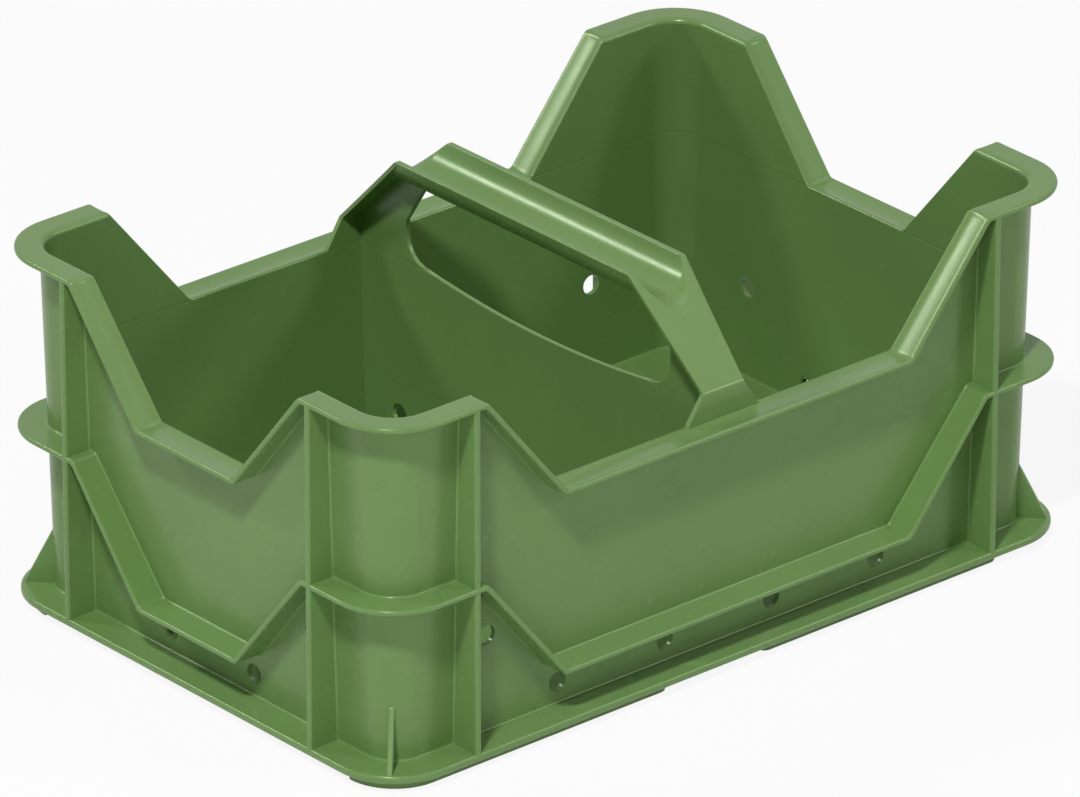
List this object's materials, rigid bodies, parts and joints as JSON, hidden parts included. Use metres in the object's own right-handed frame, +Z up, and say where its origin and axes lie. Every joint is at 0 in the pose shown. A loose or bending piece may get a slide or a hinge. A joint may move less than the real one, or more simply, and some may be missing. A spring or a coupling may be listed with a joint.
{
  "type": "harvest tub",
  "caption": "Stackable plastic grape tub with raised corners, low saddle-shaped sides, an outer belt flange, ribs, a middle partition and a fixed carrying handle over it",
  "frame": {"origin": "on the ground, under the middle of the tub", "axes": "X along the length, Y across the width with the front long side at -Y, Z up"},
  "size_m": [0.5, 0.333, 0.2163],
  "materials": {
    "green_plastic": "semi-gloss moulded"
  },
  "bodies": {
    "root": {"base_flange": "green_plastic", "floor": "green_plastic", "partition": "green_plastic", "grip": "green_plastic", "wall_front": "green_plastic", "wall_right": "green_plastic", "wall_back": "green_plastic", "wall_left": "green_plastic", "corner_post_front_right": "green_plastic", "corner_post_back_right": "green_plastic", "corner_post_back_left": "green_plastic", "corner_post_front_left": "green_plastic", "rim_front": "green_plastic", "rim_right": "green_plastic", "rim_back": "green_plastic", "rim_left": "green_plastic", "rim_corner_front_right": "green_plastic", "rim_corner_back_right": "green_plastic", "rim_corner_back_left": "green_plastic", "rim_corner_front_left": "green_plastic", "belt_front": "green_plastic", "belt_right": "green_plastic", "belt_back": "green_plastic", "belt_left": "green_plastic", "belt_corner_front_right": "green_plastic", "belt_corner_back_right": "green_plastic", "belt_corner_back_left": "green_plastic", "belt_corner_front_left": "green_plastic", "rib_front_left_low": "green_plastic", "rib_front_left_high": "green_plastic", "rib_front_right_low": "green_plastic", "rib_front_right_high": "green_plastic", "rib_right_left_low": "green_plastic", "rib_right_left_high": "green_plastic", "rib_right_right_low": "green_plastic", "rib_right_right_high": "green_plastic", "rib_back_left_low": "green_plastic", "rib_back_left_high": "green_plastic", "rib_back_right_low": "green_plastic", "rib_back_right_high": "green_plastic", "rib_left_left_low": "green_plastic", "rib_left_left_high": "green_plastic", "rib_left_right_low": "green_plastic", "rib_left_right_high": "green_plastic", "gusset_front_right": "green_plastic", "gusset_back_right": "green_plastic", "gusset_back_left": "green_plastic", "gusset_front_left": "green_plastic", "foot_front_right": "green_plastic", "foot_back_right": "green_plastic", "foot_back_left": "green_plastic", "foot_front_left": "green_plastic", "leg_front": "green_plastic", "leg_back": "green_plastic", "tab_front": "green_plastic", "tab_back": "green_plastic"}
  },
  "joints": []
}
